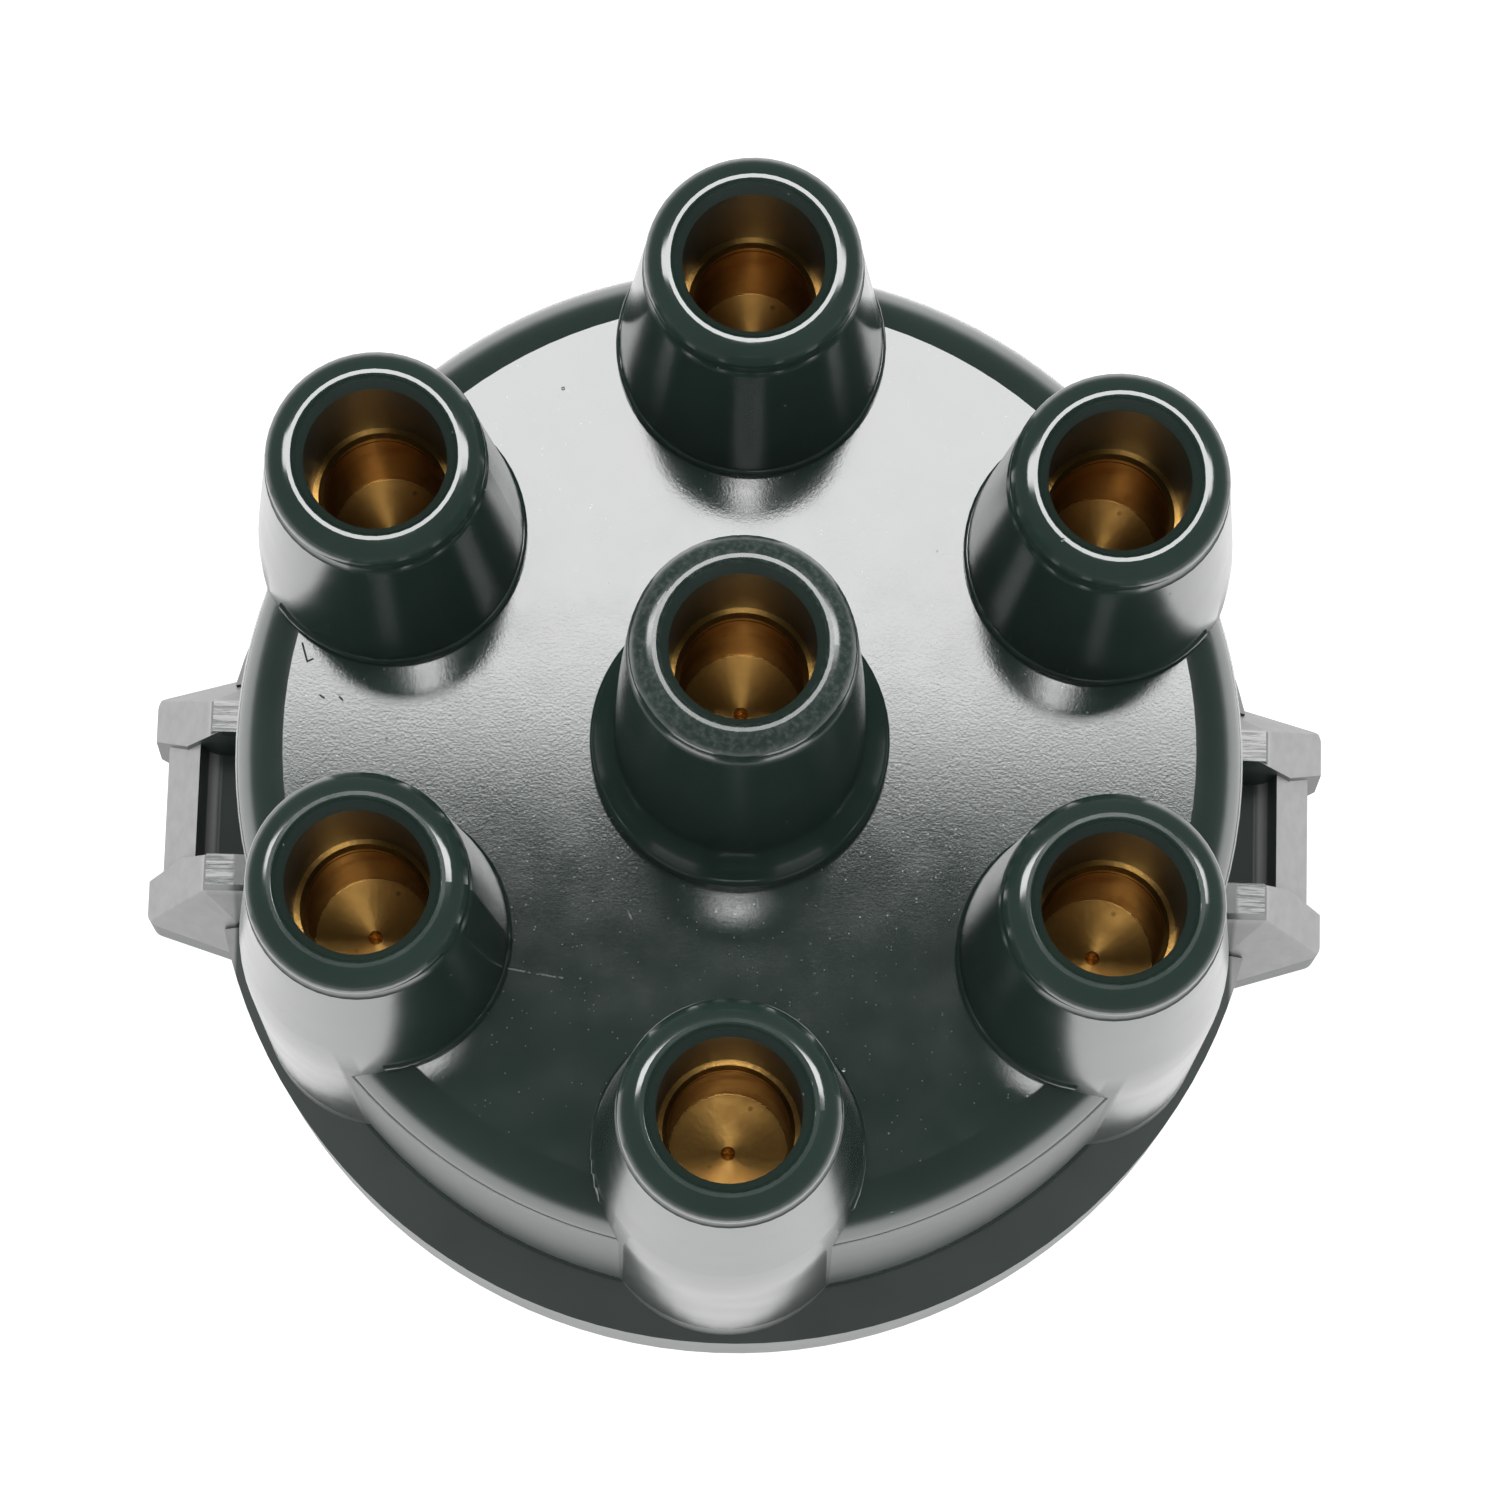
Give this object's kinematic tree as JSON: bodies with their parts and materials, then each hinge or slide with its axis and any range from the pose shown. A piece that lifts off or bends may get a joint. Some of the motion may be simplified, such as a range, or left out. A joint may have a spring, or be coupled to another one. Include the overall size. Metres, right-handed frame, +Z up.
{
  "type": "distributor cap",
  "caption": "Round black distributor cap with push-in brass lead sockets in towers, a sprung carbon brush inside and lugs for spring clips.",
  "frame": {"origin": "centre of the rim's seating plane, on the cap's axis", "axes": "+Z up along the cap's axis, out of the towers; +X towards the right clip lug; +Y towards the key slot"},
  "size_m": [0.0888, 0.0788, 0.0689],
  "materials": {
    "black_plastic": "glossy black thermoset moulding, slightly green",
    "brass": "turned brass",
    "carbon": "pressed carbon, matt",
    "spring_steel": "drawn steel wire"
  },
  "bodies": {
    "cap": {"cap_moulding": "black_plastic", "centre_terminal": "brass", "brush_spring": "spring_steel", "terminal_1": "brass", "terminal_2": "brass", "terminal_3": "brass", "terminal_4": "brass", "terminal_5": "brass", "terminal_6": "brass"},
    "brush": {"carbon_brush": "carbon"}
  },
  "joints": [
    {"name": "brush_travel", "type": "slide", "parent": "cap", "child": "brush", "axis": [0, 0, 1], "range_m": [0, 0.003], "stiffness_N_per_m": 250, "springref_m": -0.002, "deforming": ["brush_spring"]}
  ]
}
